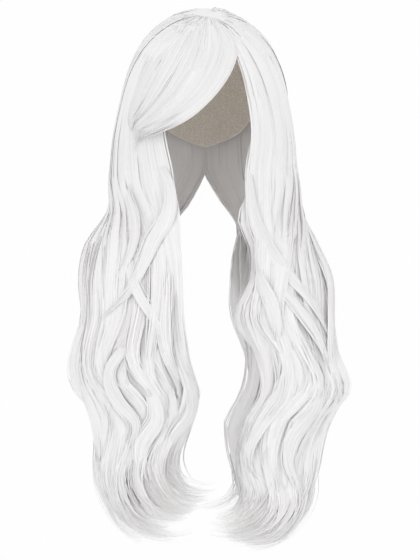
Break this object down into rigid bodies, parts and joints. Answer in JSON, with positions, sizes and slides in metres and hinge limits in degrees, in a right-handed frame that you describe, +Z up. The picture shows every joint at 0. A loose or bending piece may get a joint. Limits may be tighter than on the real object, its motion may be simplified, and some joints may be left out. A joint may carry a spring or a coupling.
{
  "type": "long wavy wig",
  "caption": "Long white wig with a side-swept fringe, straight over the head, with waved falls of hair brought forward over both shoulders to hooked ends, on a thin open cap.",
  "frame": {"origin": "underside of the cap's crown, where the top of the head sits", "axes": "+Z up, the wearer's face looks toward -Y, +X is the right side as seen from the front, which is the wearer's left"},
  "size_m": [0.3483, 0.2687, 0.6938],
  "materials": {
    "hair": "satin white synthetic fibre",
    "cap_net": "matt cream net"
  },
  "bodies": {
    "root": {"wig_cap": "cap_net", "crown_hair": "hair", "fringe": "hair", "side_fall_left": "hair", "side_fall_right": "hair", "nape_fall_left": "hair", "nape_fall_right": "hair"}
  },
  "joints": []
}
